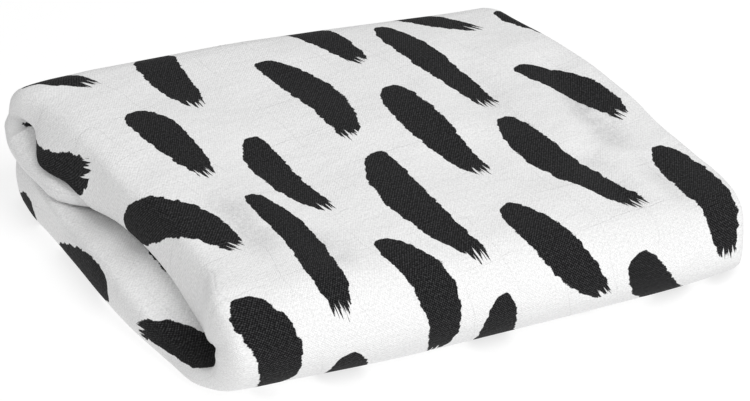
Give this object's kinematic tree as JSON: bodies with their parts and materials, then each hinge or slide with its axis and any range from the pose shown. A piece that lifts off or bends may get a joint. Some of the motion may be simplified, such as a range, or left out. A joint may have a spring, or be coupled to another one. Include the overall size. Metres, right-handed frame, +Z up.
{
  "type": "folded swaddle blanket",
  "caption": "Square cotton muslin baby blanket folded to a flat packet, with a fat rounded fold along the front and rolled edges at the left side.",
  "frame": {"origin": "bottom centre of the packet's bounding box, on the surface that it rests on", "axes": "+X along the rounded front fold from the rolled left side to the right, +Y from the front fold to the far side, +Z up"},
  "size_m": [0.3178, 0.254, 0.0727],
  "materials": {
    "white_muslin": "soft matte open weave with a bold dark print"
  },
  "bodies": {
    "root": {"folded_blanket": "white_muslin"}
  },
  "joints": []
}
